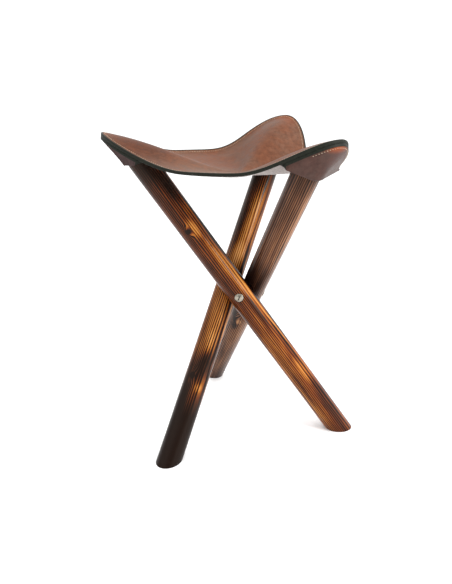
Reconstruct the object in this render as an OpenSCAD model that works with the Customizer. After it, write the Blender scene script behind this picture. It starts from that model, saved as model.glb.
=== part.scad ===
// Three-legged folding stool: round wooden legs crossing at a three-way pivot,
// with a leather sling seat whose three corners are pockets on the leg tops.

/* [Legs] */
// Diameter of each round wooden leg
leg_d = 34.3; // [30:0.1:36]
// Length along a leg from its pivot hole down to the floor
leg_below = 266; // [220:1:300]
// Length along a leg from its pivot hole up to its top end
leg_above = 234; // [215:1:250]
// Radius that the top end of a leg is rounded to
leg_top_round = 14; // [8:0.5:15]
// Height along a leg at which the rounding of its toe is centred
toe_rise = 50; // [40:1:60]
// Depth taken off the sharp toe of the slanted foot
toe_cut = 3; // [1:0.5:4]

/* [Stance] */
// Tilt of the front leg from the folded position
front_tilt = 54; // [48:0.5:56]
// Tilt of the left and right legs from the folded position
side_tilt = 28.8; // [26:0.2:31]
// Distance from the cross screw to the axis of the front leg
eye_reach = 35.5; // [35:0.1:39]
// Distance from the pivot centre to the axis of a side leg
hub_offset = 18.3; // [17.9:0.1:20]

/* [Pivot hardware] */
// Thread diameter of the two screws
screw_d = 6; // [5:0.5:7]
// Outside diameter of the sleeves that the legs turn on
sleeve_d = 9; // [8.5:0.5:10]
// Diameter of the low domed screw heads
head_d = 12; // [11:0.5:14]
// Height of the straight rim of a screw head
head_rim = 0.8; // [0.5:0.1:1.5]
// Height of the dome above that rim
head_dome = 1.8; // [1:0.1:2.5]
// Width of one arm of the cross recess
recess_w = 1.4; // [1:0.1:2]
// Length across the cross recess
recess_l = 6.4; // [5:0.2:7]
// Depth of the cross recess
recess_depth = 1.6; // [1:0.1:2]
// Outside diameter of the eye
eye_d = 16; // [14:0.5:17]
// Thickness of the eye
eye_t = 4; // [3:0.2:4.4]
// Height of the neck that joins the eye to its collar
neck_h = 9; // [7:0.5:10]
// Diameter of the collar between the neck and the front leg
collar_d = 11; // [10:0.5:12]
// Thickness of that collar
collar_t = 3; // [2:0.2:3.4]
// Thickness of the washer on each side of the eye
washer_t = 1; // [0.8:0.1:1.2]
// Outside diameter of those washers
washer_d = 14; // [13:0.5:16]
// Radial clearance of every turning fit
fit_gap = 0.05; // [0.02:0.01:0.1]
// Side clearance between stacked pivot pieces
stack_gap = 0.1; // [0.05:0.05:0.2]

/* [Seat leather] */
// Thickness of the seat leather
seat_t = 4; // [3:0.25:5]
// Thickness of the pocket leather
pocket_t = 3.5; // [2.5:0.25:4]
// Distance that the front, right and left leg's corner tips reach beyond the leg's top end
tip_over = [39, 36, 25]; // [20:0.5:60]
// Height of each of those tips above the leg's top end
tip_rise = [22.5, 25.5, 31.5]; // [10:0.5:45]
// Turn of each tip away from its leg top
tip_turn = [-2, 2, -1.5]; // [-8:0.5:8]
// Distance from the middle to the middle of the near, right and far edges
edge_reach = [99, 101, 125]; // [85:0.5:130]
// Height of the leg tops above the middle of those edges
edge_drop = [22, 22, 6]; // [0:0.5:50]
// Height of the leg tops above the middle of the seat
seat_drop = 29; // [10:0.5:60]
// How far the middle of the seat lies from the middle of the leg tops
seat_shift = [-2.2, -7.3]; // [-15:0.1:15]
// How narrow the corners are, by the near, right and far edge
tip_narrow = [2.4, 1.8, 2.8]; // [1.3:0.1:3]
// How late those edges rise towards the corners
tip_lift = [3.1, 3, 2.2]; // [2:0.05:3.2]
// Length of the leg's end that the pocket covers
pocket_depth = 10; // [8:0.5:20]
// Gap between the pocket and the leg
pocket_gap = 0.8; // [0.3:0.1:1]
// Length of the pocket's straight wall past the end of the leg
pocket_past = 5; // [0:0.5:6]
// Height of the pocket's leather where its mouth meets the seat edge
pocket_ends = 6; // [4:0.5:10]
// Width of the flange that is sewn under the seat edge
flange_w = 9; // [7:0.5:12]
// Distance from the seat edge to the row of stitches
stitch_inset = 4.5; // [3:0.5:7]
// Thickness of the stitching thread
thread_d = 1.2; // [0.8:0.1:1.6]

/* [Hidden] */
$fn = 64;

leg_r = leg_d / 2;
eps = 0.01;
// Depth of the flat seats cut in the round legs, so that heads and washers bear on wood
outer_seat = 1.2;
outer_seat_r = head_d / 2 + 0.4;
inner_seat_r = 10;
pack_half = eye_t / 2 + washer_t + 2 * stack_gap;
sleeve_wall_end = 4;
screw_overlap = 18;
// Gap that keeps sewn layers from sharing one face
layer_gap = 0.3;
// Places the middle of the outline over the origin
centre_shift = [1.34, -3.01];

wood = "sienna";
steel = "silver";
leather = "saddlebrown";
thread = "wheat";

// The hinge frame: X runs along the cross screw, -Y along the front screw, Z up the folded legs.
front_dir = [-sin(front_tilt), 0, cos(front_tilt)];
left_dir = [0, sin(side_tilt), cos(side_tilt)];
right_dir = [0, -sin(side_tilt), cos(side_tilt)];
front_hub = [0, -eye_reach, 0];
left_hub = [-hub_offset, 0, 0];
right_hub = [hub_offset, 0, 0];
front_foot = front_hub - leg_below * front_dir;
left_foot = left_hub - leg_below * left_dir;
right_foot = right_hub - leg_below * right_dir;

function unit(v) = v / norm(v);

// The three feet stand on one floor, and its normal is turned to point up.
floor_normal = unit(cross(right_foot - front_foot, left_foot - front_foot));
level_axis = unit(cross(floor_normal, [0, 0, 1]));
level_angle = acos(floor_normal[2]);
function leveled(v) = v * cos(level_angle) + cross(level_axis, v) * sin(level_angle)
    + level_axis * (level_axis * v) * (1 - cos(level_angle));
stand_shift = -leveled((front_foot + left_foot + right_foot) / 3) + [centre_shift[0], centre_shift[1], 0];
function standing(p) = leveled(p) + stand_shift;

module standing() {
    translate(stand_shift) rotate(a = level_angle, v = level_axis) children();
}

module upper_half() {
    side = 3 * leg_below;
    translate([-side / 2, -side / 2, 0]) cube([side, side, 2 * side]);
}

// A round bar about Z with a rounded upper end, its pivot hole at the origin
module leg_bar(splay) {
    below = leg_below + leg_r * tan(splay) + 2;
    toe_r = norm([leg_r, toe_rise + leg_r * tan(splay)]) - toe_cut;
    intersection() {
        translate([0, 0, -below]) rotate_extrude() union() {
            square([leg_r, below + leg_above - leg_top_round]);
            square([leg_r - leg_top_round, below + leg_above]);
            translate([leg_r - leg_top_round, below + leg_above - leg_top_round]) intersection() {
                circle(leg_top_round);
                square(leg_top_round);
            }
        }
        translate([0, 0, toe_rise - leg_below]) union() {
            sphere(toe_r);
            cylinder(h = leg_above + leg_below, r = leg_r + 1);
        }
    }
}

// A hole along X through a leg, with a flat seat on its outer face (side is -1 or 1)
module cross_hole(side, hole_d, inner_depth) {
    rotate([0, 90, 0]) {
        translate([0, 0, -leg_r - 1]) cylinder(h = leg_d + 2, d = hole_d);
        mirror([0, 0, side < 0 ? 1 : 0]) {
            translate([0, 0, leg_r - outer_seat]) cylinder(h = leg_d, r = outer_seat_r);
            if (inner_depth > 0)
                translate([0, 0, -leg_r - leg_d + inner_depth]) cylinder(h = leg_d, r = inner_seat_r);
        }
    }
}

function splay_of(dir) = acos(dir * floor_normal);

module front_leg() {
    color(wood) intersection() {
        standing() translate(front_hub) rotate([0, -front_tilt, 0]) difference() {
            leg_bar(splay_of(front_dir));
            rotate([0, 0, 90]) cross_hole(-1, sleeve_d + 2 * fit_gap, 0);
        }
        upper_half();
    }
}

module side_leg(side, hole_d) {
    inner_depth = leg_r - hub_offset + pack_half;
    color(wood) intersection() {
        standing() translate([side * hub_offset, 0, 0]) rotate([side * side_tilt, 0, 0]) difference() {
            leg_bar(splay_of([0, -side * sin(side_tilt), cos(side_tilt)]));
            cross_hole(side, hole_d, inner_depth);
        }
        upper_half();
    }
}

module left_leg() side_leg(-1, screw_d + 2 * fit_gap);

module right_leg() side_leg(1, sleeve_d + 2 * fit_gap);

// A low domed head that stands on Z = 0 and is closed on top
module domed_head() {
    dome_r = (pow(head_d / 2, 2) + pow(head_dome, 2)) / (2 * head_dome);
    difference() {
        union() {
            cylinder(h = head_rim, d = head_d);
            intersection() {
                translate([0, 0, head_rim + head_dome - dome_r]) sphere(dome_r);
                cylinder(h = head_rim + head_dome + 1, d = head_d);
            }
        }
        for (turn = [0, 90]) rotate([0, 0, turn])
            translate([-recess_l / 2, -recess_w / 2, head_rim + head_dome - recess_depth])
                cube([recess_l, recess_w, recess_depth + 1]);
        translate([0, 0, -2 * dome_r]) cylinder(h = 2 * dome_r, r = 2 * dome_r);
    }
}

front_face = eye_reach + leg_r - outer_seat;
side_face = hub_offset + leg_r - outer_seat;
collar_face = eye_reach - leg_r - stack_gap;

module front_screw() {
    shank = front_face - collar_face - 4;
    color(steel) standing() rotate([90, 0, 0]) {
        translate([0, 0, front_face + stack_gap]) domed_head();
        translate([0, 0, front_face + stack_gap - shank]) cylinder(h = shank + eps, d = screw_d);
    }
}

// The eye on the cross screw, with the threaded sleeve that the front leg turns on
module eye_sleeve() {
    sleeve_end = front_face - stack_gap;
    color(steel) standing() difference() {
        union() {
            rotate([0, 90, 0]) translate([0, 0, -eye_t / 2]) cylinder(h = eye_t, d = eye_d);
            translate([-eye_t / 2, -collar_face + collar_t / 2, -neck_h / 2])
                cube([eye_t, collar_face - collar_t / 2, neck_h]);
            rotate([90, 0, 0]) {
                translate([0, 0, collar_face - collar_t]) cylinder(h = collar_t, d = collar_d);
                translate([0, 0, collar_face - collar_t / 2])
                    cylinder(h = sleeve_end - collar_face + collar_t / 2, d = sleeve_d);
            }
        }
        rotate([0, 90, 0]) translate([0, 0, -eye_t]) cylinder(h = 2 * eye_t, d = screw_d + 2 * fit_gap);
        rotate([90, 0, 0]) translate([0, 0, collar_face + 3])
            cylinder(h = leg_d, d = screw_d + 2 * fit_gap);
    }
}

module cross_screw() {
    shank = side_face + screw_overlap;
    color(steel) standing() rotate([0, -90, 0]) {
        translate([0, 0, side_face + stack_gap]) domed_head();
        translate([0, 0, side_face + stack_gap - shank]) cylinder(h = shank + eps, d = screw_d);
    }
}

// The closed nut whose sleeve the right leg turns on
module barrel_nut() {
    sleeve_start = pack_half + 2 * stack_gap;
    color(steel) standing() rotate([0, 90, 0]) difference() {
        union() {
            translate([0, 0, side_face + stack_gap]) domed_head();
            translate([0, 0, sleeve_start])
                cylinder(h = side_face + stack_gap - sleeve_start + eps, d = sleeve_d);
        }
        translate([0, 0, sleeve_start - 1])
            cylinder(h = screw_overlap + sleeve_wall_end - sleeve_start, d = screw_d + 2 * fit_gap);
    }
}

module eye_washer(side) {
    color(steel) standing() rotate([0, side * 90, 0]) translate([0, 0, eye_t / 2 + stack_gap])
        difference() {
            cylinder(h = washer_t, d = washer_d);
            translate([0, 0, -1]) cylinder(h = washer_t + 2, d = screw_d + 4 * fit_gap);
        }
}

module left_eye_washer() eye_washer(-1);

module right_eye_washer() eye_washer(1);

// The seat corners follow the leg tops, in turn about the seat: front, right and left leg.
leg_dirs = [leveled(front_dir), leveled(right_dir), leveled(left_dir)];
leg_hubs = [standing(front_hub), standing(right_hub), standing(left_hub)];
leg_tops = [for (i = [0:2]) leg_hubs[i] + leg_above * leg_dirs[i]];
top_middle = (leg_tops[0] + leg_tops[1] + leg_tops[2]) / 3;
seat_mid = top_middle + [seat_shift[0], seat_shift[1], -seat_drop];
function from_mid(p) = [p[0] - seat_mid[0], p[1] - seat_mid[1]];
function heading(p) = atan2(from_mid(p)[1], from_mid(p)[0]);
tip_heading = [for (i = [0:2]) heading(leg_tops[i]) + tip_turn[i]];
tip_reach = [for (i = [0:2]) norm(from_mid(leg_tops[i])) + tip_over[i]];
tip_height = [for (i = [0:2]) leg_tops[i][2] + tip_rise[i]];
function past(a, b) = b < a ? b + 360 : b;
next_heading = [for (i = [0:2]) past(tip_heading[i], tip_heading[(i + 1) % 3])];

// Corner weight: 1 at a corner tip and 0 halfway along an edge
function closeness(f) = (1 + cos(360 * f)) / 2;

// Rise from the middle of the seat to its rim, along a corner
cone_soft = 0.1;
function corner_rise(s) = pow(sin(90 * s), 1.6) / 2
    + (sqrt(s * s + cone_soft * cone_soft) - cone_soft) / (sqrt(1 + cone_soft * cone_soft) - cone_soft) / 2;

// A point of the top face. Edge i runs from corner i to the next one as f goes from 0 to 1,
// and s goes from 0 at the middle of the seat to 1 at its rim.
function seat_top(i, f, s) =
    let (corner = f < 0.5 ? i : (i + 1) % 3,
         near = closeness(f),
         w = pow(near, tip_narrow[i]),
         angle = tip_heading[i] + f * (next_heading[i] - tip_heading[i]),
         reach = edge_reach[i] + (tip_reach[corner] - edge_reach[i]) * w,
         edge_z = top_middle[2] - edge_drop[i],
         rim_z = edge_z + (tip_height[corner] - edge_z) * pow(near, tip_lift[i]),
         rise = w * corner_rise(s) + (1 - w) * pow(s, 2))
    [seat_mid[0] + s * reach * cos(angle), seat_mid[1] + s * reach * sin(angle),
     seat_mid[2] + (rim_z - seat_mid[2]) * rise];

// The same point for a turn g around the rim, where each edge takes 1
function seat_at(g, s) = let (k = (g + 3) % 3) seat_top(floor(k), k - floor(k), s);
function seat_normal(g, s) =
    let (q = min(max(s, 0.06), 0.985), step = 0.015)
    unit(cross(seat_at(g, q + step) - seat_at(g, q - step), seat_at(g + step, q) - seat_at(g - step, q)));
function seat_under(g, s, drop) =
    let (up = s < 0.05 ? [0, 0, 1] : seat_normal(g, s)) seat_at(g, s) - drop * up;
// The share s that lies a distance d in from the rim
function inset_share(g, d) =
    let (step = 0.01, along = unit(seat_at(g + step, 1) - seat_at(g - step, 1)))
    1 - 0.1 * d / norm(cross(along, seat_at(g, 1) - seat_at(g, 0.9)));

seat_spokes = 60;
inner_rings = 7;
seat_rings = inner_rings + 3;
function ring_share(g, r) = r == seat_rings ? 1
    : r == seat_rings - 1 ? inset_share(g, stitch_inset)
    : inset_share(g, flange_w) * (r == seat_rings - 2 ? 1 : pow(r / (inner_rings + 1), 0.85));

module seat_panel() {
    top_ring = [for (r = [1:seat_rings]) for (k = [0:seat_spokes - 1]) let (g = 3 * k / seat_spokes)
        seat_at(g, ring_share(g, r))];
    under_ring = [for (r = [1:seat_rings]) for (k = [0:seat_spokes - 1]) let (g = 3 * k / seat_spokes)
        seat_under(g, ring_share(g, r), seat_t)];
    count = seat_rings * seat_spokes;
    function at(side, r, k) = side * (count + 1) + (r - 1) * seat_spokes + k % seat_spokes;
    top_mid = 2 * count + 1;
    points = concat(top_ring, [seat_mid - [0, 0, seat_t]], under_ring, [seat_mid]);
    faces = [for (k = [0:seat_spokes - 1]) each concat(
        [[top_mid, at(0, 1, k + 1), at(0, 1, k)], [count, at(1, 1, k), at(1, 1, k + 1)],
         [at(0, seat_rings, k), at(0, seat_rings, k + 1), at(1, seat_rings, k + 1)],
         [at(0, seat_rings, k), at(1, seat_rings, k + 1), at(1, seat_rings, k)]],
        [for (r = [1:seat_rings - 1]) each [
            [at(0, r, k), at(0, r, k + 1), at(0, r + 1, k + 1)],
            [at(0, r, k), at(0, r + 1, k + 1), at(0, r + 1, k)],
            [at(1, r, k), at(1, r + 1, k + 1), at(1, r, k + 1)],
            [at(1, r, k), at(1, r + 1, k), at(1, r + 1, k + 1)]]])];
    color(leather) polyhedron(points, faces);
}

// The pocket of corner i, as sections across its leather from one end of the seam to the other.
// Each section starts at the pocket's mouth on the leg, runs up the inner face past the leg's end
// to the flange under the seat, out to the rim, and back down the outer face.
pocket_spokes = 4;
pocket_steps = 6 * pocket_spokes;
pocket_rows = 7;

// A path that follows the leg for half of the way from a to b and then bends to c
function wall(a, b, c, q) = let (m = (a + b) / 2, t = max(0, (q - 0.25) / 0.75))
    q < 0.25 ? a + 4 * q * (m - a) : (1 - t) * (1 - t) * m + 2 * t * (1 - t) * b + t * t * c;

// A point under the seat on the straight line between two neighbouring spokes
function seam(i, k, s_of, drop) =
    let (low = floor(k), part = k - low,
         g0 = i + 3 * low / seat_spokes, g1 = i + 3 * (low + 1) / seat_spokes)
    (1 - part) * seat_under(g0, inset_share(g0, s_of), drop) + part * seat_under(g1, inset_share(g1, s_of), drop);

// The mouth is drawn straight from the seat edge to the leg on both sides and lies round the leg
// between. Sections up to this share of each side lie on the leg.
mouth_split = 0.5;

function pocket_section(i, share) =
    let (turn = 2 * share - 1,
         dir = leg_dirs[i],
         flat_out = unit([dir[0], dir[1], 0]),
         out = unit(flat_out - dir * (flat_out * dir)),
         side = cross(dir, out),
         drop = seat_t + layer_gap,
         round_r = leg_r + pocket_gap,
         corners = [for (sign = [-1, 1]) seam(i, sign * (pocket_spokes - 0.001), 0, drop + pocket_t)],
         wraps = [for (n = [0, 1]) let (away = corners[n] - leg_tops[i], across = (2 * n - 1) * (away * side))
             atan2(across, away * out) - acos(round_r / norm([away * out, across]))],
         k = turn * pocket_spokes,
         part = min(1, max(0, (turn / mouth_split + 1) / 2)),
         angle = part * (wraps[0] + wraps[1]) - wraps[0],
         radial = cos(angle) * out + sin(angle) * side,
         free = max(0, (abs(turn) - mouth_split) / (1 - mouth_split)),
         on_leg = leg_tops[i] - pocket_depth * dir + round_r * radial,
         low = on_leg + free * (corners[turn < 0 ? 0 : 1] - (pocket_ends - pocket_t) * dir - on_leg),
         past = (pocket_depth + pocket_past) * dir,
         skin_t = pocket_t * radial,
         high = seam(i, k, flange_w, drop),
         rim_low = seam(i, k, 0, drop + pocket_t),
         bend_in = (1 - free) * (low + past) + free * (low + high) / 2,
         bend_out = (1 - free) * (low + past + skin_t) + free * (low + skin_t + rim_low) / 2)
    concat([for (v = [0:pocket_rows]) wall(low, bend_in, high, v / pocket_rows)],
           [seam(i, k, stitch_inset, drop), seam(i, k, 0, drop)],
           [for (v = [pocket_rows + 2:-1:0]) wall(low + skin_t, bend_out, rim_low, v / (pocket_rows + 2))]);

module skin(sections) {
    rows = len(sections[0]);
    last = (len(sections) - 1) * rows;
    points = [for (section = sections) each section];
    sides = [for (k = [0:len(sections) - 2]) for (r = [0:rows - 1])
        let (a = k * rows + r, b = k * rows + (r + 1) % rows) each [[a, b, b + rows], [a, b + rows, a + rows]]];
    ends = [for (r = [0:rows / 2 - 2]) let (a = r, b = r + 1, c = rows - 2 - r, d = rows - 1 - r)
        each [[a, c, b], [a, d, c], [last + a, last + b, last + c], [last + a, last + c, last + d]]];
    polyhedron(points, [for (face = concat(sides, ends))
        if (face[0] != face[1] && face[1] != face[2] && face[0] != face[2]) face]);
}

module pocket(i) {
    color(leather) skin([for (k = [0:pocket_steps]) pocket_section(i, k / pocket_steps)]);
}

module front_pocket() pocket(0);

module right_pocket() pocket(1);

module left_pocket() pocket(2);

thread_sides = 6;

// The row of stitches, as one thread along the whole rim
module seat_stitching() {
    lift = thread_d / 2 + layer_gap;
    line = [for (k = [0:seat_spokes - 1]) let (g = 3 * k / seat_spokes)
        seat_under(g, inset_share(g, stitch_inset), -lift)];
    points = [for (k = [0:seat_spokes - 1])
        let (g = 3 * k / seat_spokes,
             along = unit(line[(k + 1) % seat_spokes] - line[(k + seat_spokes - 1) % seat_spokes]),
             across = unit(cross(along, seat_normal(g, inset_share(g, stitch_inset)))),
             over = cross(across, along))
        for (n = [0:thread_sides - 1]) let (turn = 360 * n / thread_sides)
            line[k] + thread_d / 2 * (cos(turn) * across + sin(turn) * over)];
    total = seat_spokes * thread_sides;
    faces = [for (k = [0:seat_spokes - 1]) for (n = [0:thread_sides - 1])
        let (a = k * thread_sides + n, b = k * thread_sides + (n + 1) % thread_sides,
             c = (b + thread_sides) % total, d = (a + thread_sides) % total)
        each [[a, b, c], [a, c, d]]];
    color(thread) polyhedron(points, faces);
}

front_leg();
left_leg();
right_leg();
front_screw();
eye_sleeve();
cross_screw();
barrel_nut();
left_eye_washer();
right_eye_washer();
seat_panel();
front_pocket();
left_pocket();
right_pocket();
seat_stitching();
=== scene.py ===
import math

import bmesh
import bpy
import numpy as np
from mathutils import Matrix, Vector


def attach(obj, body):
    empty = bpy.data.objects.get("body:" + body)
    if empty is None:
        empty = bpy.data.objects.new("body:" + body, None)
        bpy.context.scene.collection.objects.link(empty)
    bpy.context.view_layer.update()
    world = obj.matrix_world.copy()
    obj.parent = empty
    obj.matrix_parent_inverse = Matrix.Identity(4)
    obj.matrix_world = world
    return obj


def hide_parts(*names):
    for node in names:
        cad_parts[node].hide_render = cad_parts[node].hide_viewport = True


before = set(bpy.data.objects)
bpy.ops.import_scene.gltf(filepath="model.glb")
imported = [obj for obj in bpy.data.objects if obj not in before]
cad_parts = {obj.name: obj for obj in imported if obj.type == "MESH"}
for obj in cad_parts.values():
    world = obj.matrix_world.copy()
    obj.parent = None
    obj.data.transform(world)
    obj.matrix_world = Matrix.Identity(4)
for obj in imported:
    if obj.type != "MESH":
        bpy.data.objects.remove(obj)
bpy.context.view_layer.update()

MM = 0.001
UP = np.array([0, 0, 1.0])

# Lists by leg, and by corner of the seat, are in this order
FRONT, RIGHT, LEFT = range(3)

# Sizes of the stool in millimetres, as in the part's source
LEG_R = 17.15
LEG_BELOW = 266.0
LEG_ABOVE = 234.0
TOP_ROUND = 14.0
EYE_REACH = 35.5
PACK_HALF = 3.2
HUB_OFFSET = 18.3
FRONT_TILT = math.radians(54)
SIDE_TILT = math.radians(28.8)
CENTRE_SHIFT = np.array([1.34, -3.01, 0.0])
SEAT_T = 4.0
POCKET_T = 3.5


def unit(v):
    v = np.asarray(v, float)
    return v / np.linalg.norm(v, axis=-1, keepdims=True)


# The stance: the hinge frame turned so that the three feet stand on the floor
hinge_dirs = [
    np.array([-math.sin(FRONT_TILT), 0, math.cos(FRONT_TILT)]),
    np.array([0, -math.sin(SIDE_TILT), math.cos(SIDE_TILT)]),
    np.array([0, math.sin(SIDE_TILT), math.cos(SIDE_TILT)]),
]
hinge_hubs = [np.array([0, -EYE_REACH, 0]), np.array([HUB_OFFSET, 0, 0]), np.array([-HUB_OFFSET, 0, 0])]
feet = [hub - LEG_BELOW * axis for hub, axis in zip(hinge_hubs, hinge_dirs)]
normal = unit(np.cross(feet[RIGHT] - feet[FRONT], feet[LEFT] - feet[FRONT]))
level_axis = unit(np.cross(normal, UP))
level_angle = math.acos(normal[2])


def leveled(v):
    c, s = math.cos(level_angle), math.sin(level_angle)
    return v * c + np.cross(level_axis, v) * s + level_axis * (level_axis @ v) * (1 - c)


PIVOT = CENTRE_SHIFT - leveled(sum(feet) / 3)
BOLT = leveled(np.array([1.0, 0, 0]))
EYE = leveled(np.array([0, -1.0, 0]))
DIRS = [leveled(axis) for axis in hinge_dirs]
HUBS = [leveled(hub) + PIVOT for hub in hinge_hubs]
TOPS = [hub + LEG_ABOVE * axis for hub, axis in zip(HUBS, DIRS)]

# The seat's surface, by corner, or by edge from each corner to the next. SEAT_SHIFT and SEAT_DROP place its
# middle from the middle of the leg tops, TIP_TURN is in degrees, and TIP_NARROW and TIP_LIFT are powers
SEAT_SHIFT = (-2.2, -7.3)
SEAT_DROP = 29.0
TIP_OVER = [39, 36, 25]
TIP_RISE = [22.5, 25.5, 31.5]
TIP_TURN = np.array([-2, 2, -1.5])
EDGE_REACH = np.array([99.0, 101.0, 125.0])
EDGE_DROP = np.array([22, 22, 6])
TIP_NARROW = np.array([2.4, 1.8, 2.8])
TIP_LIFT = np.array([3.1, 3, 2.2])
RISE_POWER = 1.6
CONE = 0.1
TOP_MID = sum(TOPS) / 3
MID = TOP_MID + np.array([*SEAT_SHIFT, -SEAT_DROP])
TIP_REACH = np.array([np.hypot(*(top - MID)[:2]) + over for top, over in zip(TOPS, TIP_OVER)])
TIP_Z = np.array([top[2] + rise for top, rise in zip(TOPS, TIP_RISE)])
EDGE_Z = TOP_MID[2] - EDGE_DROP
HEADING = TIP_TURN + [math.degrees(math.atan2(top[1] - MID[1], top[0] - MID[0])) for top in TOPS]
NEXT_HEADING = np.roll(HEADING, -1)
NEXT_HEADING = NEXT_HEADING + 360 * (NEXT_HEADING < HEADING)

# The seat's slope is measured between these shares, over steps of turn and share, and gives way to
# straight up below the share MIDDLE
SLOPE_FROM, SLOPE_TO = 0.06, 0.985
SLOPE_STEP = 0.015
RIM_STEP = 0.01
MIDDLE = 0.08

# On the far side the leather dips a little and its sewn edge curls up again
DIP, CURL = 1.6, 2.9
DIP_FROM, CURL_FROM = 0.70, 0.93
FAR_FADE = 0.4


def far_curl(turn, share):
    """Height added from the right corner over the left one to the front one."""
    far = np.clip((turn - 1) / FAR_FADE, 0, 1) * np.clip((3 - turn) / FAR_FADE, 0, 1)
    dip = np.clip((share - DIP_FROM) / (CURL_FROM - DIP_FROM), 0, 1)
    curl = np.clip((share - CURL_FROM) / (1 - CURL_FROM), 0, 1.3)
    return far * (CURL * curl ** 2 - DIP * dip ** 2 * (3 - 2 * dip))


def corner_rise(share):
    """How far the leather has risen towards a corner: half a rounded cone and half a swelling curve."""
    cone = (np.sqrt(share ** 2 + CONE ** 2) - CONE) / (math.sqrt(1 + CONE ** 2) - CONE)
    return np.sin(np.pi / 2 * np.clip(share, 0, 1.2)) ** RISE_POWER / 2 + cone / 2


def seat_at(turn, share):
    """Points of the seat's top: turn goes around the rim, by 1 to each next corner, and share from the
    middle, 0, to the rim, 1."""
    turn, share = np.broadcast_arrays(np.asarray(turn, float) % 3, np.asarray(share, float))
    start = np.minimum(turn.astype(int), 2)
    past = turn - start
    corner = np.where(past < 0.5, start, (start + 1) % 3)
    near = (1 + np.cos(2 * np.pi * past)) / 2
    lobe = near ** TIP_NARROW[start]
    heading = np.radians(HEADING[start] + past * (NEXT_HEADING[start] - HEADING[start]))
    reach = EDGE_REACH[start] + (TIP_REACH[corner] - EDGE_REACH[start]) * lobe
    rim = EDGE_Z[start] + (TIP_Z[corner] - EDGE_Z[start]) * near ** TIP_LIFT[start]
    rise = lobe * corner_rise(share) + (1 - lobe) * share ** 2
    x = MID[0] + share * reach * np.cos(heading)
    y = MID[1] + share * reach * np.sin(heading)
    z = MID[2] + (rim - MID[2]) * rise + far_curl(turn, share)
    return np.stack([x, y, z], -1)


def seat_normal(turn, share):
    share = np.clip(share, SLOPE_FROM, SLOPE_TO)
    outward = seat_at(turn, share + SLOPE_STEP) - seat_at(turn, share - SLOPE_STEP)
    around = seat_at(turn + SLOPE_STEP, share) - seat_at(turn - SLOPE_STEP, share)
    return unit(np.cross(outward, around))


def inset(turn, distance):
    """The share that lies a distance in from the rim."""
    around = unit(seat_at(turn + RIM_STEP, 1) - seat_at(turn - RIM_STEP, 1))
    last_tenth = seat_at(turn, 1) - seat_at(turn, 0.9)
    return 1 - 0.1 * distance / np.linalg.norm(np.cross(around, last_tenth), axis=-1)


def under(turn, share, depth):
    """Points at a depth below the seat's top: square to it, but straight down in the very middle."""
    out = seat_normal(turn, share)
    blend = np.clip(np.broadcast_to(share, out.shape[:-1]) / MIDDLE, 0, 1)[..., None]
    return seat_at(turn, share) - depth * unit(out * blend + UP * (1 - blend))


# The photograph and its camera, which was fitted to legs 33 mm thick and is scaled to the real ones
PHOTO_W, PHOTO_H = 452, 584
FOCAL_PX = 490.2
CENTRE_PX = (248.2, 294.8)
SENSOR = 36
FIT_SCALE = 2 * LEG_R / 33
CAMERA_AWAY = 658.6 * FIT_SCALE
CAMERA_HEIGHT = 422.6 * FIT_SCALE
AZIMUTH, YAW, PITCH, ROLL = (math.radians(angle) for angle in (2.57, -0.94, 18.92, 0.20))

CAMERA_AT = np.array([math.sin(AZIMUTH) * CAMERA_AWAY, -math.cos(AZIMUTH) * CAMERA_AWAY, CAMERA_HEIGHT])
CAMERA_AT = CAMERA_AT + CENTRE_SHIFT
level_ahead = np.array([-math.sin(AZIMUTH + YAW), math.cos(AZIMUTH + YAW), 0])
level_right = np.array([math.cos(AZIMUTH + YAW), math.sin(AZIMUTH + YAW), 0])
pitched_up = math.sin(PITCH) * level_ahead + math.cos(PITCH) * UP
CAMERA_AHEAD = math.cos(PITCH) * level_ahead - math.sin(PITCH) * UP
CAMERA_RIGHT = math.cos(ROLL) * level_right + math.sin(ROLL) * pitched_up
CAMERA_UP = math.cos(ROLL) * pitched_up - math.sin(ROLL) * level_right


# Objects and faces
def new_object(name, verts, faces):
    """An object in the scene, from points in millimetres."""
    mesh = bpy.data.meshes.new(name)
    mesh.from_pydata((np.asarray(verts) * MM).tolist(), [], faces)
    mesh.update()
    ob = bpy.data.objects.new(name, mesh)
    bpy.context.scene.collection.objects.link(ob)
    return ob


def declare(ob, body, node):
    """Says which body a piece rides on and which node it replaces."""
    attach(ob, body)
    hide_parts(node)


def add_smooth(name, verts, faces, materials, parts=None):
    """A smooth object. The parts, if given, say for each face which of the materials it has."""
    ob = new_object(name, verts, faces)
    ob.data.polygons.foreach_set("use_smooth", [True] * len(faces))
    if parts is not None:
        ob.data.polygons.foreach_set("material_index", np.asarray(parts, np.int32))
    for material in materials:
        ob.data.materials.append(material)
    return ob


def grid_faces(rings, cols, start=0):
    """Faces between rings of points, each with the next."""
    faces = []
    for ring in range(rings - 1):
        a = start + ring * cols
        b = a + cols
        for c in range(cols):
            d = (c + 1) % cols
            faces.append((a + c, a + d, b + d, b + c))
    return faces


def tube_faces(rings, cols, start=0):
    """Faces of rings of points with a flat cap at each end."""
    last = start + (rings - 1) * cols
    caps = [tuple(range(start + cols - 1, start - 1, -1)), tuple(range(last, last + cols))]
    return grid_faces(rings, cols, start) + caps


def fan_faces(rings, cols):
    """Faces of rings of points closed at each end by a fan, to the two points that follow the rings."""
    first_tip = rings * cols
    last = first_tip - cols
    faces = grid_faces(rings, cols)
    for c in range(cols):
        d = (c + 1) % cols
        faces.append((first_tip, d, c))
        faces.append((first_tip + 1, last + c, last + d))
    return faces


def turned(base, axis, side, profile, cols):
    """Rings of points about an axis through base, one for each radius and height of the profile."""
    other = np.cross(axis, side)
    angles = np.arange(cols) * 2 * np.pi / cols
    return [base + height * axis + radius * (np.cos(angle) * side + np.sin(angle) * other)
            for radius, height in profile for angle in angles]


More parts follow.
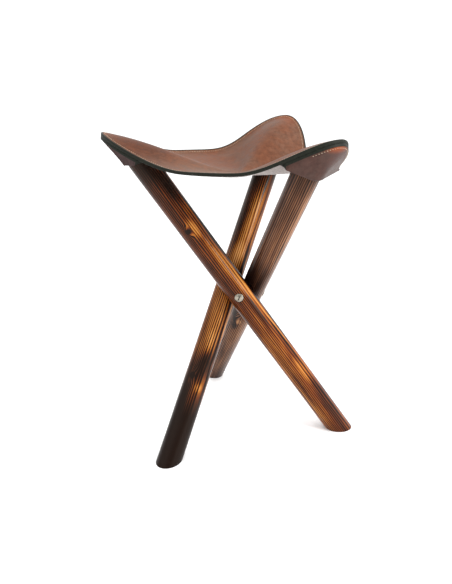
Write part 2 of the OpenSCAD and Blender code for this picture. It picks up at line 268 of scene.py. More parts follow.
# Materials. Their places are in millimetres, and the mix node's sockets for colours go by number
IN_MM = (1000, 1000, 1000)
MIX_FACTOR, MIX_A, MIX_B, MIX_COLOR = 0, 6, 7, 2


class Graph:
    """The nodes of a material or a world. A value that is a socket is linked, and any other is set."""

    def __init__(self, owner):
        owner.use_nodes = True
        self.owner = owner
        self.tree = owner.node_tree

    def give(self, socket, value):
        if isinstance(value, bpy.types.NodeSocket):
            self.tree.links.new(value, socket)
        else:
            socket.default_value = value

    def node(self, kind, inputs=None, **settings):
        made = self.tree.nodes.new(kind)
        for key, value in settings.items():
            setattr(made, key, value)
        for key, value in (inputs or {}).items():
            self.give(made.inputs[key], value)
        return made

    def shader(self, **values):
        """Gives the main shader its values and returns the material."""
        inputs = self.tree.nodes["Principled BSDF"].inputs
        for key, value in values.items():
            if isinstance(value, tuple):
                value = (*value, 1)
            self.give(inputs[key.replace("_", " ")], value)
        return self.owner

    def calc(self, operation, *values):
        return self.node("ShaderNodeMath", dict(enumerate(values)), operation=operation).outputs[0]

    def add(self, base, value, weight):
        """The base plus the value times the weight."""
        return self.calc("MULTIPLY_ADD", value, weight, base)

    def sway(self, base, noise, weight):
        """The base moved up and down by a noise, whose middle is 0.5."""
        return self.add(base, self.calc("SUBTRACT", noise, 0.5), weight)

    def vector(self, operation, *values):
        made = self.node("ShaderNodeVectorMath", dict(enumerate(values)), operation=operation)
        return made.outputs["Value" if operation in ("DOT_PRODUCT", "LENGTH") else "Vector"]

    def coords(self):
        return self.node("ShaderNodeTexCoord").outputs["Object"]

    def away(self, at, centre, size):
        """Distance from a centre, in shares of the half sizes."""
        size = np.array(size, float)
        centre = np.array(centre, float)
        return self.vector("LENGTH", self.vector("MULTIPLY_ADD", at, tuple(1 / size), tuple(-centre / size)))

    def noise(self, at, scale=1.0, detail=2.0, rough=0.5, twist=0.0):
        inputs = {"Vector": at, "Scale": scale, "Detail": detail, "Roughness": rough, "Distortion": twist}
        return self.node("ShaderNodeTexNoise", inputs).outputs["Fac"]

    def ranged(self, value, source, target, kind="LINEAR"):
        """The value moved from the source's range to the target's, and held within it."""
        inputs = {"Value": value, "From Min": source[0], "From Max": source[1],
                  "To Min": target[0], "To Max": target[1]}
        return self.node("ShaderNodeMapRange", inputs, interpolation_type=kind).outputs["Result"]

    def ramp(self, value, stops):
        made = self.node("ShaderNodeValToRGB", {"Fac": value})
        elements = made.color_ramp.elements
        while len(elements) < len(stops):
            elements.new(0.5)
        for element, (position, color) in zip(elements, stops):
            element.position = position
            element.color = (*color, 1)
        return made.outputs["Color"]

    def mix(self, factor, a, b):
        made = self.node("ShaderNodeMix", data_type="RGBA", blend_type="MIX")
        for key, value in ((MIX_FACTOR, factor), (MIX_A, a), (MIX_B, b)):
            self.give(made.inputs[key], (*value, 1) if isinstance(value, tuple) else value)
        return made.outputs[MIX_COLOR]

    def bump(self, height, strength, distance, below=None):
        """A bump whose distance is in millimetres, over the one below if there is one."""
        inputs = {"Height": height, "Strength": strength, "Distance": distance * MM}
        if below is not None:
            inputs["Normal"] = below
        return self.node("ShaderNodeBump", inputs).outputs["Normal"]


def view_frame(leg):
    """Axes about a leg: to the right in the photograph, away from the camera, and up the leg."""
    axis = DIRS[leg]
    to_camera = CAMERA_AT - HUBS[leg]
    toward = unit(to_camera - (to_camera @ axis) * axis)
    return np.array([np.cross(axis, toward), -toward, axis])


# How dark the wood is over one ring of its grain
RING_STOPS = [(0, 0.8), (0.12, 0.0), (0.40, 0.08), (0.68, 0.62), (0.84, 1.0), (1.0, 0.95)]
# Where each tone of the wood stands, from bare to scorched; the darkest tones also give the painted shade of
# some marks
TONE_STOPS = (0.0, 0.25, 0.45, 0.62, 0.80, 1.0)
SCORCHED_AND_SHADED_TONES = [(0.030, 0.011, 0.006), (0.006, 0.0025, 0.002)]
# How many rings the grain wanders by, and how much streaks and fibres change the tone
WANDER = 3.2
STREAK_TONE, FIBRE_TONE = 0.75, 0.22
# A knot's core: its shares of the knot's half length and half width, and how much darker it is
CORE_LONG, CORE_WIDE, CORE_DARKER = 0.36, 0.6, 0.5


def scorched_pine(name, leg, tones, marks, knot, grain_turn, ring_gap, burnt, lines, blotch):
    """Wood about a leg, in millimetres. A mark or a knot is its distance from the hub, its turn in degrees
    from the side towards the camera, its half length, its half width, and how much darker it makes the wood
    or, for a knot, how many rings it bends the grain by."""
    g = Graph(bpy.data.materials.new(name))
    axes = view_frame(leg)
    placed = {"Vector": g.coords(), "Location": -axes @ HUBS[leg],
              "Rotation": Matrix(axes.tolist()).to_euler("XYZ"), "Scale": IN_MM}
    at = g.node("ShaderNodeMapping", placed).outputs["Vector"]
    seed = leg + 1

    def stretched(across, along, offset=0.0):
        start = (seed * 3.1 + offset, seed * 1.7 - offset, seed * 2.3 + offset)
        return g.vector("MULTIPLY_ADD", at, (across, across, along), start)

    streak = g.noise(stretched(0.30, 0.010), detail=3, rough=0.6)
    fibre = g.noise(stretched(1.7, 0.055, 4), detail=2, rough=0.6)
    patch = g.noise(stretched(0.045, 0.014, 9), detail=3, rough=0.55)
    bend = g.noise(stretched(0.045, 0.0040, 15), detail=3, rough=0.55)
    depth = g.noise(stretched(0.06, 0.006, 22))

    def nearness(height, turn, half_length, half_width, start=0.25, rag=0.5):
        """1 up to the start, a share of the half sizes, and down to 0 at the ragged rim of a mark."""
        side = math.radians(turn)
        centre = (LEG_R * math.sin(side), -LEG_R * math.cos(side), height)
        away = g.sway(g.away(at, centre, (half_width, half_width, half_length)), streak, rag)
        return g.ranged(away, (start, 1), (1, 0), "SMOOTHSTEP")

    turn = math.radians(grain_turn)
    rings = g.vector("DOT_PRODUCT", at, (math.cos(turn) / ring_gap, -math.sin(turn) / ring_gap, 0))
    rings = g.add(rings, bend, WANDER)
    *knot_place, knot_bend = knot
    rings = g.add(rings, nearness(*knot_place, start=0, rag=0.15), knot_bend)
    late = g.ramp(g.calc("FRACT", rings), [(stop, (value,) * 3) for stop, value in RING_STOPS])

    burn_and_shade = g.sway(burnt, patch, blotch * 2)
    burn_and_shade = g.sway(burn_and_shade, streak, STREAK_TONE)
    burn_and_shade = g.sway(burn_and_shade, fibre, FIBRE_TONE)
    for *place, darker in marks:
        burn_and_shade = g.add(burn_and_shade, nearness(*place), darker)
    tone = g.add(burn_and_shade, late, g.ranged(depth, (0.35, 0.65), (lines * 0.5, lines * 1.4)))
    height, knot_turn, half_length, half_width = knot_place
    core = nearness(height, knot_turn, half_length * CORE_LONG, half_width * CORE_WIDE, start=0.3, rag=0.2)
    tone = g.add(tone, core, CORE_DARKER)

    relief = g.add(g.calc("MULTIPLY", late, 0.6), fibre, 0.4)
    return g.shader(Base_Color=g.ramp(tone, list(zip(TONE_STOPS, tones + SCORCHED_AND_SHADED_TONES))),
                    Roughness=g.ranged(burn_and_shade, (0.3, 1.0), (0.30, 0.42)), Specular_IOR_Level=0.10,
                    Specular_Tint=(1.0, 0.62, 0.36), Coat_Weight=0.14, Coat_Roughness=0.18,
                    Normal=g.bump(relief, strength=0.22, distance=0.2))


def dyed_leather(name, warm, grey, seed, spots=(), shine=0.03):
    """Leather in two clouded tones. A spot is its centre, its half sizes, its colour and its share."""
    g = Graph(bpy.data.materials.new(name))
    start = seed * np.array([31.0, 17.0, 0])
    at = g.vector("MULTIPLY_ADD", g.coords(), IN_MM, tuple(start))
    cloud = g.noise(at, scale=0.022, detail=4, rough=0.6, twist=0.4)
    mottle = g.noise(at, scale=0.16, detail=4, rough=0.65)
    pores = g.node("ShaderNodeTexVoronoi", {"Vector": at, "Scale": 0.75}, feature="DISTANCE_TO_EDGE")
    grain = g.noise(at, scale=1.3, detail=3, rough=0.6)
    color = g.mix(g.ranged(cloud, (0.36, 0.66), (0, 1), "SMOOTHSTEP"), warm, grey)
    for centre, size, tint, amount in spots:
        away = g.sway(g.away(at, centre + start, size), mottle, 0.5)
        color = g.mix(g.ranged(away, (0.1, 1), (amount, 0), "SMOOTHSTEP"), color, tint)
    light = g.calc("MULTIPLY", g.ranged(mottle, (0.3, 0.72), (0.72, 1.22)),
                   g.ranged(grain, (0.3, 0.7), (0.90, 1.08)))
    scaled = g.node("ShaderNodeVectorMath", {"Vector": color, "Scale": light}, operation="SCALE")
    relief = g.add(grain, g.ranged(pores.outputs["Distance"], (0, 0.25), (0, 1)), 0.5)
    folds = g.bump(g.noise(at, scale=0.06, detail=3), strength=0.35, distance=1.2)
    return g.shader(Base_Color=scaled.outputs["Vector"], Specular_IOR_Level=shine,
                    Roughness=g.ranged(mottle, (0.3, 0.7), (0.35, 0.50)),
                    Normal=g.bump(relief, strength=0.28, distance=0.25, below=folds))


def two_tone(name, dark, light, scale, rough, metal=0.0, depth=0.15, **others):
    """Two close tones mixed by a noise that also roughens the surface, to a depth in millimetres."""
    g = Graph(bpy.data.materials.new(name))
    fine = g.noise(g.vector("MULTIPLY", g.coords(), IN_MM), scale=scale, detail=4, rough=0.65)
    return g.shader(Base_Color=g.mix(g.ranged(fine, (0.3, 0.7), (0, 1)), dark, light), Metallic=metal,
                    Roughness=g.ranged(fine, (0.3, 0.7), (rough - 0.06, rough + 0.08)),
                    Normal=g.bump(fine, strength=0.3, distance=depth), **others)


FRONT_TONES = [(0.54, 0.23, 0.05), (0.36, 0.116, 0.016), (0.22, 0.054, 0.008), (0.11, 0.022, 0.006)]
RIGHT_TONES = [(0.46, 0.24, 0.10), (0.28, 0.125, 0.055), (0.15, 0.062, 0.030), (0.080, 0.033, 0.018)]
LEFT_TONES = [(0.55, 0.26, 0.08), (0.36, 0.128, 0.021), (0.22, 0.066, 0.010), (0.10, 0.025, 0.008)]

# Marks on the wood, in the order that scorched_pine gives
FRONT_MARKS = [
    # The first mark darkens the top of the leg under the seat: painted shade.
    (255, 0, 122, 200, 0.36), (190, -62, 80, 13, -0.06), (215, 2, 50, 14, 0.16), (110, -60, 140, 17, 0.20),
    (80, -26, 140, 12, 0.10), (-140, -60, 110, 15, -0.14), (112, 8, 20, 10, -0.46),
    (-230, -58, 60, 14, -0.18), (50, 28, 62, 13, -0.26), (85, 4, 50, 9, 0.10),
    (-40, 54, 75, 9, -0.36), (-30, 20, 44, 7, 0.36),
    (-75, 6, 30, 5, 0.1), (170, 36, 34, 12, 0.34), (-145, 30, 34, 13, -0.28), (-205, 44, 62, 15, 0.30),
    (-215, -22, 60, 10, -0.08), (-262, 0, 40, 30, 0.16), (-110, 60, 40, 9, -0.16), (20, 62, 40, 8, -0.32),
    (5, 32, 30, 8, -0.14), (-90, 2, 34, 8, -0.16),
]
RIGHT_MARKS = [
    # The first mark darkens the leg where the front leg crosses in front of it, a painted shadow, and the
    # second darkens its top under the seat, a painted shade.
    (30, -20, 62, 30, 0.42), (240, 0, 60, 200, 0.18), (100, 50, 190, 9, -0.18), (150, -50, 90, 12, 0.12),
    (-52, -38, 14, 8, 0.45), (-78, -8, 15, 8, 0.42), (-66, 5, 9, 6, -0.46), (-100, 45, 120, 9, -0.16),
    (-262, 0, 60, 200, 0.16), (-110, 0, 60, 14, -0.20),
]
LEFT_MARKS = [
    # The second mark darkens the top of the leg under the seat: painted shade.
    (60, 64, 200, 9, -0.16), (215, 0, 100, 200, 0.44), (120, -42, 120, 16, 0.30), (78, 8, 84, 12, -0.34),
    (36, -2, 30, 16, -0.36), (70, 34, 70, 12, 0.06), (-60, 5, 62, 15, -0.20), (-92, 8, 26, 10, -0.16),
    (-50, 42, 40, 7, 0.10), (-128, 16, 32, 15, 0.50), (-150, -42, 54, 15, 0.5), (-160, 22, 9, 9, -0.26),
    (-250, 0, 104, 200, 0.78),
]
LEG_WOOD = [
    scorched_pine("scorched_pine_front", FRONT, FRONT_TONES, FRONT_MARKS, knot=(113, -24, 13, 8, 1.6),
                  grain_turn=12, ring_gap=2.7, burnt=0.38, lines=0.88, blotch=0.34),
    scorched_pine("scorched_pine_right", RIGHT, RIGHT_TONES, RIGHT_MARKS, knot=(-64, -18, 24, 10, 2.4),
                  grain_turn=-8, ring_gap=2.6, burnt=0.43, lines=0.64, blotch=0.20),
    scorched_pine("scorched_pine_left", LEFT, LEFT_TONES, LEFT_MARKS, knot=(-145, -24, 18, 9, 1.6),
                  grain_turn=30, ring_gap=2.7, burnt=0.34, lines=0.78, blotch=0.26),
]

GLOW = (0.29, 0.062, 0.015)
SHEEN = (0.175, 0.118, 0.088)
CHESTNUT_AND_SHADE = (0.085, 0.026, 0.011)
# The first chestnut spot darkens the front lobe, which the light reaches less: painted shade. The sheen spot
# is a painted sheen on the middle of the seat.
TOP_SPOTS = [
    ((-120, -50, 420), (75, 95, 60), CHESTNUT_AND_SHADE, 0.95), ((-10, -70, 395), (88, 52, 44), SHEEN, 0.85),
    ((70, 120, 445), (30, 30, 30), GLOW, 0.35), ((100, -110, 415), (45, 45, 30), CHESTNUT_AND_SHADE, 0.6),
]
# The sheen spot is a painted sheen along the right pocket.
POCKET_SPOTS = [((108, -146, 419), (24, 26, 8), GLOW, 0.72), ((146, -118, 405), (22, 22, 24), SHEEN, 0.6)]
LEATHER_TOP = dyed_leather("seat_leather_top", (0.150, 0.056, 0.029), (0.140, 0.068, 0.043), 1, TOP_SPOTS)
LEATHER_POCKET = dyed_leather("pocket_leather", (0.060, 0.026, 0.020), (0.060, 0.035, 0.028), 2,
                              POCKET_SPOTS, shine=0.10)
# A greyer copy of the pocket leather without its shine, for the front pocket that lies in shade: painted
# shade.
LEATHER_FRONT_POCKET_SHADED = dyed_leather("front_pocket_leather", (0.064, 0.042, 0.040), (0.052, 0.038, 0.038), 3,
                                    shine=0.0)
LEATHER_EDGE = two_tone("dyed_leather_edge", (0.005, 0.006, 0.004), (0.014, 0.016, 0.010), scale=0.5,
                        rough=0.5, Specular_IOR_Level=0.14)
LEATHER_UNDER = two_tone("suede_underside", (0.26, 0.225, 0.215), (0.44, 0.40, 0.385), scale=0.35,
                         rough=0.92, depth=0.4)
THREAD = two_tone("waxed_thread", (0.48, 0.38, 0.25), (0.74, 0.63, 0.45), scale=1.6, rough=0.6,
                  Specular_IOR_Level=0.2)
# Near-black steel for the faces of the screw's cross recess: painted shade in the recess.
SHADED_RECESS_STEEL = two_tone("recess_steel_painted_shade", (0.03, 0.028, 0.025), (0.08, 0.075, 0.07), scale=1.2, rough=0.5,
                        metal=1.0)
STEEL = two_tone("plated_steel", (0.20, 0.18, 0.145), (0.40, 0.36, 0.30), scale=0.9, rough=0.26, metal=1.0,
                 depth=0.05)

# The seat panel, with a shallow groove under its stitches and rounded edges, in millimetres
STITCH_IN = 4.5
GROOVE_DEPTH, GROOVE_WIDTH = 0.15, 0.9
BORDER = 12.0
BORDER_RINGS = (10.5, 9, 7.5, 6.4, 5.8, 5.3, 4.9, 4.5, 4.1, 3.7, 3.2, 2.6, 2.0, 1.4)
BORDER_RINGS_UNDER = (1.6, 3, 5, 8)
TOP_EDGE_R, LOW_EDGE_R = 1.0, 0.5
EDGE_ANGLES = np.radians([15, 35, 60, 85])
PANEL_COLS = 360
TOP_RINGS, UNDER_RINGS = 40, 28
# The share where the rings end and a fan closes the middle
FAN_SHARE = 0.03
# Places of the materials on the panel and on a pocket
FACE, EDGE, UNDERSIDE = range(3)


def build_panel():
    """The leather from the middle of its top, over the rim, to the middle of its underside."""
    turns = np.arange(PANEL_COLS) * 3 / PANEL_COLS

    def ring(distance, depth):
        return under(turns, inset(turns, distance), depth)

    border = inset(turns, BORDER)
    top = [under(turns, border * share, 0) for share in np.linspace(FAN_SHARE, 1, TOP_RINGS)]
    for distance in BORDER_RINGS:
        top.append(ring(distance, GROOVE_DEPTH * math.exp(-((distance - STITCH_IN) / GROOVE_WIDTH) ** 2)))
    edge = [ring(TOP_EDGE_R * (1 - math.sin(a)), TOP_EDGE_R * (1 - math.cos(a))) for a in EDGE_ANGLES]
    edge.append(ring(0, SEAT_T / 2))
    for a in EDGE_ANGLES[::-1]:
        edge.append(ring(LOW_EDGE_R * (1 - math.sin(a)), SEAT_T - LOW_EDGE_R * (1 - math.cos(a))))
    underside = [ring(distance, SEAT_T) for distance in BORDER_RINGS_UNDER]
    underside += [under(turns, border * share, SEAT_T) for share in np.linspace(1, FAN_SHARE, UNDER_RINGS)]
    rings = top + edge + underside
    verts = np.concatenate(rings + [[MID], [MID - SEAT_T * UP]])
    faces = [face[::-1] for face in fan_faces(len(rings), PANEL_COLS)]
    # The dyed edge begins a band before the rounding and ends a band after it
    bands = [FACE] * (len(top) - 2) + [EDGE] * (len(edge) + 2) + [UNDERSIDE] * (len(underside) - 1)
    parts = [part for part in bands for _ in range(PANEL_COLS)] + [FACE, UNDERSIDE] * PANEL_COLS
    panel = add_smooth("seat_leather", verts, faces, [LEATHER_TOP, LEATHER_EDGE, LEATHER_UNDER], parts)
    declare(panel, "seat", "seat_panel")


# The pockets in millimetres, and how far along the rim each is sewn on, before and after its corner
LAYER_GAP = 0.05
FLANGE = 9.0
FLANGE_ROUND = 0.4
LIP = 0.5
POCKET_DEPTH = 8.0
POCKET_PAST = 5.0
POCKET_ENDS = 6.0
POCKET_GAP = 0.8
SPREADS = [(0.2, 0.178), (0.16, 0.2), (0.2, 0.2)]
# The share of a pocket that lies round the leg, and of a wall that is straight
MOUTH_SPLIT = 0.5
WALL_STRAIGHT = 0.25
WALL_ROWS = 14
POCKET_STEPS = 64


def wall_point(start, bend, end, share):
    """A point of a line that runs straight half way to the bend and then curves to the end."""
    half = (start + bend) / 2
    if share < WALL_STRAIGHT:
        return start + share / WALL_STRAIGHT * (half - start)
    t = (share - WALL_STRAIGHT) / (1 - WALL_STRAIGHT)
    return (1 - t) ** 2 * half + 2 * t * (1 - t) * bend + t * t * end


def pocket_section(corner, swing):
    """The points of a pocket's inner wall, flange and outer wall, where swing runs from one end of the
    pocket, -1, over the corner, 0, to the other end, 1."""
    axis, top = DIRS[corner], TOPS[corner]
    level_out = unit(np.array([axis[0], axis[1], 0]))
    out = unit(level_out - axis * (level_out @ axis))
    side = np.cross(axis, out)
    below = SEAT_T + LAYER_GAP
    inner_r = LEG_R + POCKET_GAP

    def seam(place, distance, depth):
        turn = corner + place * SPREADS[corner][1 if place > 0 else 0]
        return under(turn, inset(turn, distance), depth)

    # The pocket wraps the leg as far as where lines from its two sewn ends touch it
    ends, wraps = [], []
    for sign in (-1, 1):
        end = seam(sign, 0, below + POCKET_T)
        away, across = (end - top) @ out, sign * ((end - top) @ side)
        ends.append(end)
        wraps.append(math.atan2(across, away) - math.acos(inner_r / math.hypot(away, across)))
    wrapped = min(1, max(0, (swing / MOUTH_SPLIT + 1) / 2))
    angle = wrapped * (wraps[0] + wraps[1]) - wraps[0]
    radial = math.cos(angle) * out + math.sin(angle) * side
    free = max(0.0, (abs(swing) - MOUTH_SPLIT) / (1 - MOUTH_SPLIT))

    on_leg = top - POCKET_DEPTH * axis + inner_r * radial
    free_end = ends[0 if swing < 0 else 1] - (POCKET_ENDS - POCKET_T) * axis
    low = on_leg + free * (free_end - on_leg)
    outer_low = low + POCKET_T * radial
    past = (POCKET_DEPTH + POCKET_PAST) * axis
    high = seam(swing, FLANGE, below)
    outer_high = seam(swing, 0, below + POCKET_T)
    bend = (1 - free) * (low + past) + free * (low + high) / 2
    outer_bend = (1 - free) * (outer_low + past) + free * (outer_low + outer_high) / 2
    shares = np.linspace(0, 1, WALL_ROWS + 1)
    inner = [wall_point(low, bend, high, share) for share in shares]
    flange = [seam(swing, FLANGE / 2, below), seam(swing, FLANGE_ROUND, below),
              seam(swing, 0, below + FLANGE_ROUND), seam(swing, 0, below + POCKET_T - LIP)]
    outer = [wall_point(outer_low, outer_bend, outer_high, share) for share in shares[::-1]]
    return inner, flange, outer


def build_pocket(corner, node, face_leather):
    """The sections of a pocket joined in turn, with a cap at each end."""
    sections = [pocket_section(corner, swing) for swing in np.linspace(-1, 1, POCKET_STEPS + 1)]
    verts = [point for section in sections for line in section for point in line]
    walls, flange = len(sections[0][0]), len(sections[0][1])
    around = 2 * walls + flange
    faces, parts = [], []
    for step in range(POCKET_STEPS):
        a = step * around
        b = a + around
        for c in range(around):
            d = (c + 1) % around
            faces.append((a + c, b + c, b + d, a + d))
            on_edge = walls <= c < walls + flange or c == around - 1
            parts.append(EDGE if on_edge else (UNDERSIDE if c < walls else FACE))
    cap = [(v, v + 1, around - 2 - v, around - 1 - v) for v in range(walls - 1)]
    cap.append(tuple(range(walls - 1, walls + flange + 1)))
    last = len(verts) - around
    faces += cap + [tuple(last + v for v in face[::-1]) for face in cap]
    parts += [EDGE] * 2 * len(cap)
    pocket = add_smooth(node + "_leather", verts, faces, [face_leather, LEATHER_EDGE, LEATHER_UNDER], parts)
    declare(pocket, "seat", node)


# The stitches: pitch, length and width in each kind of row, and the form of a stitch
RIM_STITCH = (2.8, 1.5, 0.66)
POCKET_STITCH = (3.2, 1.3, 0.64)
STITCH_RINGS, STITCH_SIDES = 5, 6
STITCH_ARCH = 0.16
STITCH_FLATNESS = 0.8
STITCH_END = 0.08
STITCH_SUNK = 0.2
RIM_POINTS = 2401
# Where the row on each pocket begins and ends, and how far below the outer wall's upper end it runs
SEAM_FROM = [-0.97, -0.6, -0.97]
SEAM_TO = [0.1, 0.97, 0.97]
SEAM_DOWN = 1.9
SEAM_POINTS = 121
# How far over the leg's top the place is, inside the pocket, that the row's stitches face away from
INSIDE_UP = 12


def along(line):
    """The lengths along a line at its points, and a function that reads values at any length."""
    lengths = np.concatenate([[0], np.cumsum(np.linalg.norm(np.diff(line, axis=0), axis=1))])
    return lengths, lambda values, length: np.array([np.interp(length, lengths, axis) for axis in values.T])


def sew(thread, line, outs, pitch, length, width):
    """Adds separate short stitches along a line, each on the side that outs points to there."""
    verts, faces = thread
    lengths, read = along(line)
    count = round(lengths[-1] / pitch)
    for middle in (np.arange(count) + 0.5) * lengths[-1] / count:
        spine = [read(line, middle + length * (j / (STITCH_RINGS - 1) - 0.5)) for j in range(STITCH_RINGS)]
        out = unit(read(outs, middle))
        side = unit(np.cross(unit(spine[-1] - spine[0]), out))
        faces += tube_faces(STITCH_RINGS, STITCH_SIDES, len(verts))
        for j, point in enumerate(spine):
            z = 2 * j / (STITCH_RINGS - 1) - 1
            radius = width / 2 * math.sqrt(1 - (1 - STITCH_END) * z * z)
            centre = point + out * STITCH_ARCH * (1 - 2 * z * z)
            for angle in np.arange(STITCH_SIDES) * 2 * math.pi / STITCH_SIDES:
                around = math.cos(angle) * side + STITCH_FLATNESS * math.sin(angle) * out
                verts.append(centre + radius * around)


def pocket_seam(corner):
    """Where the row on a pocket's outer wall runs, and the direction out of the leather there."""
    swings = np.linspace(SEAM_FROM[corner], SEAM_TO[corner], SEAM_POINTS)
    walls = np.array([pocket_section(corner, swing)[2] for swing in swings])
    line, outs = [], []
    for k, wall in enumerate(walls):
        lengths, read = along(wall)
        line.append(read(wall, SEAM_DOWN))
        j = np.searchsorted(lengths, SEAM_DOWN)
        across = walls[min(k + 1, SEAM_POINTS - 1), j] - walls[max(k - 1, 0), j]
        outs.append(unit(np.cross(across, wall[j] - wall[j - 1])))
    line, outs = np.array(line), np.array(outs)
    away = line - (TOPS[corner] + INSIDE_UP * DIRS[corner])
    return line, np.where((outs * away).sum(1, keepdims=True) > 0, outs, -outs)


def build_stitches():
    """The row round the seat's rim and a row on each pocket, as one piece."""
    thread = ([], [])
    turns = np.linspace(0, 3, RIM_POINTS)
    share = inset(turns, STITCH_IN)
    sew(thread, under(turns, share, STITCH_SUNK), seat_normal(turns, share), *RIM_STITCH)
    for corner in (FRONT, RIGHT, LEFT):
        sew(thread, *pocket_seam(corner), *POCKET_STITCH)
    stitches = add_smooth("rim_stitches", *thread, [THREAD])
    declare(stitches, "seat", "seat_stitching")


# The legs in millimetres. FOOT_SPARE is what is cut off below the floor
SPOT_R, SPOT_DEPTH = 6.4, 1.2
NUT_BORE_R = 4.55
SCREW_BORE_R = 3.05
FLAT_R = 10.0
BORE_END, FLAT_END = 30, 40
FOOT_SPARE = 6
FOOT_ROUND = 3.2
FOOT_SEGMENTS = 5
LEG_COLS, LEG_ROWS = 96, 150
ROUND_ANGLES = np.radians([8, 18, 30, 42, 54, 66, 78, 90])
SHARP_ANGLE = math.radians(38)
CUTTER_SIDE = (0.3, 0.2, 1.0)
CUTTER_COLS = 64
# How near to the floor an edge of the foot lies, in metres
ON_FLOOR = 1e-6


# A cut is its axis through the hub, its radius, and where it starts and ends along the axis
def bore(axis, radius):
    return axis, radius, -BORE_END, BORE_END


def spot(axis):
    """A round seat for a screw head or a nut, on the outer side of a leg."""
    return axis, SPOT_R, LEG_R - SPOT_DEPTH, BORE_END


def flat(axis):
    """A flat beside the pack of the eye and its washers, on the inner side of a leg."""
    return axis, FLAT_R, HUB_OFFSET - PACK_HALF, FLAT_END


def cut_with(ob, tool):
    """Takes the tool's form out of an object, and removes the tool."""
    cut = ob.modifiers.new("cut", "BOOLEAN")
    cut.object = tool
    cut.operation = "DIFFERENCE"
    cut.solver = "EXACT"
    with bpy.context.temp_override(object=ob, active_object=ob, selected_objects=[ob]):
        bpy.context.view_layer.objects.active = ob
        bpy.ops.object.modifier_apply(modifier=cut.name)
    bpy.data.objects.remove(tool)


def cut_foot(mesh):
    """Cuts a leg off level at the floor and rounds the rim of its foot."""
    bm = bmesh.new()
    bm.from_mesh(mesh)
    everything = bm.verts[:] + bm.edges[:] + bm.faces[:]
    bmesh.ops.bisect_plane(bm, geom=everything, plane_co=(0, 0, 0), plane_no=(0, 0, 1), clear_inner=True)
    bmesh.ops.holes_fill(bm, edges=[edge for edge in bm.edges if edge.is_boundary], sides=0)
    rim = [edge for edge in bm.edges
           if len(edge.link_faces) == 2 and all(abs(vert.co.z) < ON_FLOOR for vert in edge.verts)]
    bmesh.ops.bevel(bm, geom=rim, offset=FOOT_ROUND * MM, offset_type="OFFSET",
                    segments=FOOT_SEGMENTS, profile=0.5, affect="EDGES", clamp_overlap=True)
    bmesh.ops.recalc_face_normals(bm, faces=bm.faces)
    bm.to_mesh(mesh)
    bm.free()


def build_leg(leg, node, cuts):
    """A round leg with a rounded top and a level foot, cut for the pivot, in its own wood."""
    axis, hub = DIRS[leg], HUBS[leg]
    low = -(LEG_BELOW + LEG_R * math.tan(math.acos(axis[2])) + FOOT_SPARE)
    round_from = LEG_ABOVE - TOP_ROUND
    profile = [(LEG_R, height) for height in np.linspace(low, round_from, LEG_ROWS)]
    for a in ROUND_ANGLES:
        profile.append((LEG_R - TOP_ROUND * (1 - math.cos(a)), round_from + TOP_ROUND * math.sin(a)))
    verts = turned(hub, axis, unit(np.cross(axis, UP)), profile, LEG_COLS)
    ob = new_object(node + "_wood", verts, tube_faces(len(profile), LEG_COLS))
    cut_foot(ob.data)
    for cut_axis, radius, start, end in cuts:
        ends = [(radius, start), (radius, end)]
        verts = turned(hub, cut_axis, unit(np.cross(cut_axis, CUTTER_SIDE)), ends, CUTTER_COLS)
        cut_with(ob, new_object("cutter", verts, tube_faces(2, CUTTER_COLS)))
    ob.data.polygons.foreach_set("use_smooth", [True] * len(ob.data.polygons))
    ob.data.set_sharp_from_angle(angle=SHARP_ANGLE)
    ob.data.materials.clear()
    ob.data.materials.append(LEG_WOOD[leg])
    declare(ob, node, node)


# The front screw: radius and height of its outline, from the tip to the top of its domed head
SCREW_AT = PIVOT + (EYE_REACH + LEG_R - SPOT_DEPTH) * EYE
SCREW_PROFILE = [(0, -29.1), (2.6, -29.1), (3, -28.6), (3, 0.1), (5.7, 0.1), (6, 0.3), (6, 0.8), (5.85, 1.0),
                 (5.2, 1.36), (4.4, 1.78), (3.4, 2.2), (2.2, 2.52), (1.1, 2.68), (0, 2.72)]
SCREW_COLS = 48
# The cross recess: half length and half width of an arm, its floor, and a height clear of the head
RECESS_LONG, RECESS_WIDE = 3.2, 0.7
RECESS_FLOOR, OVER_HEAD = 1.0, 4.0
BOX_FACES = [(0, 1, 3, 2), (4, 6, 7, 5), (0, 4, 5, 1), (1, 5, 7, 3), (3, 7, 6, 2), (2, 6, 4, 0)]


def build_front_screw():
    """The screw from its outline, with two arms cut into its head."""
    rings = SCREW_PROFILE[1:-1]
    tips = [SCREW_AT + height * EYE for _, height in (SCREW_PROFILE[0], SCREW_PROFILE[-1])]
    verts = turned(SCREW_AT, EYE, BOLT, rings, SCREW_COLS) + tips
    screw = add_smooth("front_screw_steel", verts, fan_faces(len(rings), SCREW_COLS), [STEEL, SHADED_RECESS_STEEL])
    other = np.cross(EYE, BOLT)
    # The cut faces of each arm take the near-black steel, painted shade in the recess.
    for arm, beside in ((BOLT, other), (other, BOLT)):
        box = [SCREW_AT + x * RECESS_LONG * arm + y * RECESS_WIDE * beside + z * EYE
               for z in (RECESS_FLOOR, OVER_HEAD) for y in (-1, 1) for x in (-1, 1)]
        tool = new_object("cutter", box, BOX_FACES)
        tool.data.materials.append(SHADED_RECESS_STEEL)
        cut_with(screw, tool)
    declare(screw, "pivot", "front_screw")


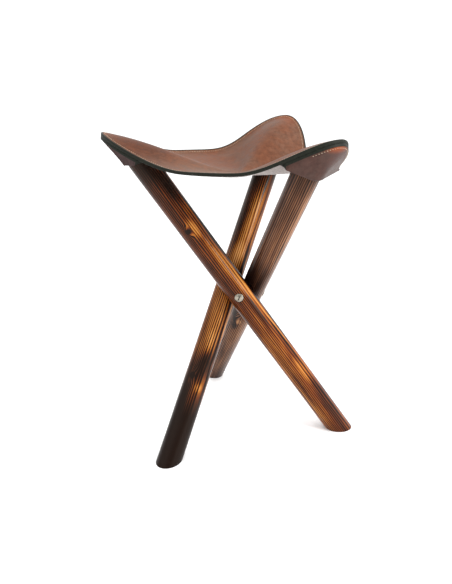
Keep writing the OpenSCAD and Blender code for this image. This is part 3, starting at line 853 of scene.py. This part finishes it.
build_panel()
build_pocket(FRONT, "front_pocket", LEATHER_FRONT_POCKET_SHADED)
build_pocket(RIGHT, "right_pocket", LEATHER_POCKET)
build_pocket(LEFT, "left_pocket", LEATHER_POCKET)
build_stitches()
build_leg(FRONT, "front_leg", [spot(EYE), bore(EYE, NUT_BORE_R)])
build_leg(RIGHT, "right_leg", [spot(BOLT), bore(BOLT, NUT_BORE_R), flat(-BOLT)])
build_leg(LEFT, "left_leg", [spot(-BOLT), bore(BOLT, SCREW_BORE_R), flat(BOLT)])
build_front_screw()
for node in ("eye_sleeve", "cross_screw", "barrel_nut", "left_eye_washer", "right_eye_washer"):
    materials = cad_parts[node].data.materials
    materials.clear()
    materials.append(STEEL)

# Half the width of the floor in millimetres, and the side that the world's light is weaker from
FLOOR_HALF = 30000
WEAK_SIDE = (-0.55, -0.82, 0.15)


def add_camera():
    camera = bpy.data.cameras.new("camera")
    camera.sensor_fit = "HORIZONTAL"
    camera.sensor_width = SENSOR
    camera.lens = FOCAL_PX / PHOTO_W * SENSOR
    camera.shift_x = (PHOTO_W / 2 - CENTRE_PX[0]) / PHOTO_W
    camera.shift_y = (CENTRE_PX[1] - PHOTO_H / 2) / PHOTO_W
    camera.clip_start = 0.01
    ob = bpy.data.objects.new("camera", camera)
    bpy.context.scene.collection.objects.link(ob)
    columns = np.array([CAMERA_RIGHT, CAMERA_UP, -CAMERA_AHEAD, CAMERA_AT * MM])
    ob.matrix_world = Matrix([*columns.T.tolist(), [0, 0, 0, 1]])
    bpy.context.scene.camera = ob


def add_floor():
    corners = [(x * FLOOR_HALF, y * FLOOR_HALF, 0) for x, y in ((-1, -1), (1, -1), (1, 1), (-1, 1))]
    floor = new_object("floor", corners, [(0, 1, 2, 3)])
    floor.data.materials.append(two_tone("floor_white", (0.975, 0.975, 0.975), (0.985, 0.985, 0.985),
                                         scale=0.002, rough=0.9, depth=0.0, Specular_IOR_Level=0.0))


def add_world():
    """Light from all round, weaker from the left of the camera. What the camera sees of it is white."""
    world = bpy.data.worlds.new("world")
    g = Graph(world)
    generated = g.node("ShaderNodeTexCoord").outputs["Generated"]
    shade = g.ranged(g.vector("DOT_PRODUCT", generated, WEAK_SIDE), (-0.15, 0.6), (1.22, 0.45))
    seen = g.node("ShaderNodeLightPath").outputs["Is Camera Ray"]
    background = g.tree.nodes["Background"].inputs
    g.give(background["Color"], (1, 1, 1, 1))
    g.give(background["Strength"], g.calc("MAXIMUM", shade, seen))
    bpy.context.scene.world = world


def add_area(name, at, target, size, power):
    light = bpy.data.lights.new(name, "AREA")
    light.shape = "RECTANGLE"
    light.size, light.size_y = size
    light.energy = power
    ob = bpy.data.objects.new(name, light)
    aim = (Vector(target) - Vector(at)).to_track_quat("-Z", "Y")
    ob.matrix_world = Matrix.Translation(Vector(at)) @ aim.to_matrix().to_4x4()
    bpy.context.scene.collection.objects.link(ob)


def add_sky():
    light = bpy.data.lights.new("sky", "SUN")
    light.energy = 1.6
    light.angle = math.radians(150)
    bpy.context.scene.collection.objects.link(bpy.data.objects.new("sky", light))


add_camera()
add_floor()
add_world()
# Lamps: place, target and size in metres, and power in watts
add_area("key", (1.9, -0.95, 1.3), (0, 0, 0.25), (0.5, 1.3), 34)
add_area("top", (0.2, 0.2, 2.6), (0, 0, 0), (2.6, 2.6), 14)
add_sky()
add_area("fill", (-1.6, -1.2, 1.3), (0, 0, 0.25), (2.6, 2.2), 9)
bpy.context.scene.view_settings.view_transform = "Standard"
